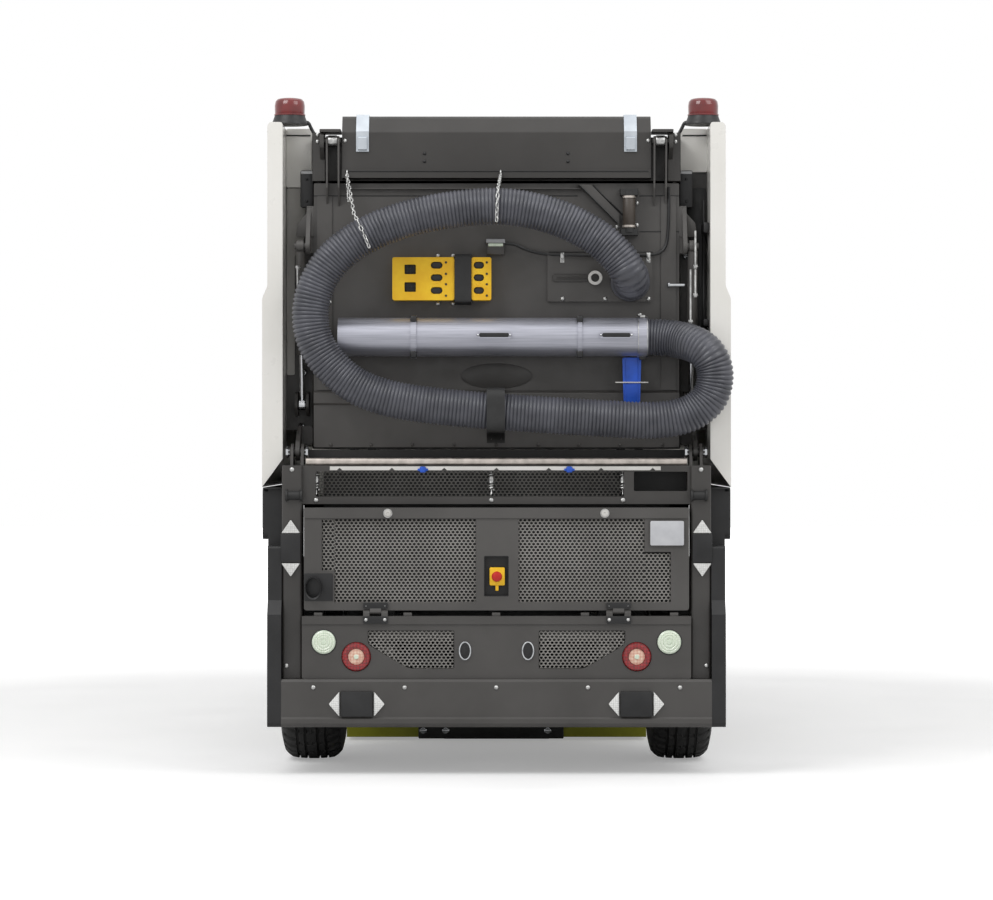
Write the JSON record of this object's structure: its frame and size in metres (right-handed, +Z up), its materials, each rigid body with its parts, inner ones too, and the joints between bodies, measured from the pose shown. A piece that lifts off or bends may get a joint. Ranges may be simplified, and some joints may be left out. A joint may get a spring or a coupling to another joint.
{
  "type": "street sweeper truck",
  "caption": "Compact municipal street sweeper with a tipping hopper, wander hose on the rear door, glazed cab and front gutter brushes.",
  "frame": {"origin": "on the ground, midway between the rear hose and the front brushes, on the centre plane", "axes": "+Y is the vehicle's forward direction, +X its right side, +Z up"},
  "size_m": [1.7, 4.2117, 1.9603],
  "materials": {
    "chassis_paint": "satin black paint",
    "grey_paint": "warm dark grey enamel",
    "white_paint": "off-white gloss enamel",
    "steel": "zinc plated steel",
    "aluminium_tube": "anodised aluminium",
    "hose_plastic": "grey blue corrugated hose",
    "tyre_rubber": "tyre rubber",
    "rim_paint": "silver enamel",
    "lamp_lens": "moulded lens",
    "clear_lens": "moulded lens",
    "cab_glazing": "tinted glazing",
    "black_plastic": "black moulding",
    "red_plastic": "red dome",
    "yellow_plastic": "yellow moulding",
    "lime_paint": "lime enamel",
    "bristle": "polypropylene bristle",
    "engine_iron": "painted casting",
    "seat_fabric": "seat cloth",
    "ram_steel": "chromed rod"
  },
  "bodies": {
    "chassis": {"chassis_frame": "chassis_paint", "rear_frame": "grey_paint", "rear_ledge": "steel", "engine_block": "engine_iron", "radiator": "chassis_paint", "lamp_panel": "grey_paint", "rear_bumper": "grey_paint", "rear_lamps": "lamp_lens", "marker_lamps": "clear_lens", "rear_axle": "engine_iron", "front_axle": "chassis_paint", "side_skirts": "grey_paint", "cab_shell": "white_paint", "cab_glass": "cab_glazing", "seats": "seat_fabric", "dashboard": "black_plastic", "mirrors": "black_plastic", "headlamps": "clear_lens", "suction_nozzle": "lime_paint", "suction_duct": "black_plastic", "vent_mesh": "chassis_paint", "notch_bar": "white_paint", "lamp_panel_mesh": "chassis_paint", "nozzle_flaps": "tyre_rubber"},
    "knuckle_left_body": {"knuckle_left": "engine_iron"},
    "knuckle_right_body": {"knuckle_right": "engine_iron"},
    "wheel_front_left": {"tyre_front_left": "tyre_rubber", "rim_front_left": "rim_paint"},
    "wheel_front_right": {"tyre_front_right": "tyre_rubber", "rim_front_right": "rim_paint"},
    "wheel_rear_left": {"tyre_rear_left": "tyre_rubber", "rim_rear_left": "rim_paint"},
    "wheel_rear_right": {"tyre_rear_right": "tyre_rubber", "rim_rear_right": "rim_paint"},
    "door_left_body": {"cab_door_left": "white_paint", "door_glass_left": "cab_glazing"},
    "door_right_body": {"cab_door_right": "white_paint", "door_glass_right": "cab_glazing"},
    "hopper_body": {"hopper_shell": "grey_paint", "top_cowl": "grey_paint", "side_panels": "white_paint", "beacons": "red_plastic", "cowl_latches": "steel"},
    "lid_body": {"hopper_door": "grey_paint", "suction_tube": "aluminium_tube", "wheel_chocks": "yellow_plastic", "wander_hose": "hose_plastic", "door_lock": "black_plastic"},
    "tip_barrels": {"tip_ram_barrels": "chassis_paint"},
    "tip_rods": {"tip_ram_rods": "ram_steel"},
    "lid_barrels": {"door_ram_barrels": "chassis_paint"},
    "lid_rods": {"door_ram_rods": "ram_steel"},
    "grille_body": {"grille_door": "grey_paint", "grille_mesh": "chassis_paint", "emergency_stop": "yellow_plastic", "door_fittings": "black_plastic"},
    "arm_left_body": {"brush_arm_left": "chassis_paint"},
    "arm_right_body": {"brush_arm_right": "chassis_paint"},
    "brush_left_body": {"brush_left": "bristle"},
    "brush_right_body": {"brush_right": "bristle"}
  },
  "joints": [
    {"name": "hopper_tip", "type": "hinge", "parent": "chassis", "child": "hopper_body", "pos_m": [0, -1.985, 0.924], "axis": [1, 0, 0], "range_deg": [0, 55]},
    {"name": "hopper_door_swing", "type": "hinge", "parent": "hopper_body", "child": "lid_body", "pos_m": [0, -1.93, 1.827], "axis": [-1, 0, 0], "range_deg": [0, 60]},
    {"name": "tip_ram_swing", "type": "hinge", "parent": "chassis", "child": "tip_barrels", "pos_m": [0, -1.25, 0.47], "axis": [1, 0, 0], "range_deg": [-11.5, 0]},
    {"name": "tip_ram_stroke", "type": "slide", "parent": "tip_barrels", "child": "tip_rods", "axis": [0, -0.6421, 0.7667], "range_m": [0, 0.345]},
    {"name": "door_ram_swing", "type": "hinge", "parent": "lid_body", "child": "lid_barrels", "pos_m": [0, -1.95, 1.52], "axis": [1, 0, 0], "range_deg": [0, 80.5]},
    {"name": "door_ram_stroke", "type": "slide", "parent": "lid_barrels", "child": "lid_rods", "axis": [0, 0.2133, -0.977], "range_m": [0, 0.228]},
    {"name": "steer_left", "type": "hinge", "parent": "chassis", "child": "knuckle_left_body", "pos_m": [-0.425, 0.25, 0.305], "axis": [0, 0, 1], "range_deg": [-30, 30]},
    {"name": "steer_right", "type": "hinge", "parent": "chassis", "child": "knuckle_right_body", "pos_m": [0.425, 0.25, 0.305], "axis": [0, 0, 1], "range_deg": [-30, 30]},
    {"name": "spin_front_left", "type": "hinge", "parent": "knuckle_left_body", "child": "wheel_front_left", "pos_m": [-0.549, 0.25, 0.305], "axis": [1, 0, 0], "continuous": true},
    {"name": "spin_front_right", "type": "hinge", "parent": "knuckle_right_body", "child": "wheel_front_right", "pos_m": [0.549, 0.25, 0.305], "axis": [1, 0, 0], "continuous": true},
    {"name": "spin_rear_left", "type": "hinge", "parent": "chassis", "child": "wheel_rear_left", "pos_m": [-0.549, -1.5, 0.305], "axis": [1, 0, 0], "continuous": true},
    {"name": "spin_rear_right", "type": "hinge", "parent": "chassis", "child": "wheel_rear_right", "pos_m": [0.549, -1.5, 0.305], "axis": [1, 0, 0], "continuous": true},
    {"name": "cab_door_left_swing", "type": "hinge", "parent": "chassis", "child": "door_left_body", "pos_m": [-0.651, 1.33, 1], "axis": [0, 0, -1], "range_deg": [0, 65]},
    {"name": "cab_door_right_swing", "type": "hinge", "parent": "chassis", "child": "door_right_body", "pos_m": [0.651, 1.33, 1], "axis": [0, 0, 1], "range_deg": [0, 65]},
    {"name": "grille_door_swing", "type": "hinge", "parent": "chassis", "child": "grille_body", "pos_m": [0, -2.066, 0.466], "axis": [1, 0, 0], "range_deg": [0, 90]},
    {"name": "brush_arm_left_swing", "type": "hinge", "parent": "chassis", "child": "arm_left_body", "pos_m": [-0.3, 1.18, 0.292], "axis": [0, 0, 1], "range_deg": [0, 32]},
    {"name": "brush_arm_right_swing", "type": "hinge", "parent": "chassis", "child": "arm_right_body", "pos_m": [0.3, 1.18, 0.292], "axis": [0, 0, -1], "range_deg": [0, 32]},
    {"name": "brush_left_spin", "type": "hinge", "parent": "arm_left_body", "child": "brush_left_body", "pos_m": [-0.34, 1.775, 0.18], "axis": [0, 0, 1], "continuous": true},
    {"name": "brush_right_spin", "type": "hinge", "parent": "arm_right_body", "child": "brush_right_body", "pos_m": [0.34, 1.775, 0.18], "axis": [0, 0, 1], "continuous": true}
  ],
  "couplings": [
    {"joint": "tip_ram_swing", "follows": "hopper_tip", "ratio": -0.19857},
    {"joint": "tip_ram_stroke", "follows": "hopper_tip", "m_per_rad": 0.35576},
    {"joint": "door_ram_swing", "follows": "hopper_door_swing", "ratio": 1.3312},
    {"joint": "door_ram_stroke", "follows": "hopper_door_swing", "m_per_rad": 0.21603},
    {"joint": "steer_right", "follows": "steer_left", "ratio": 1}
  ]
}
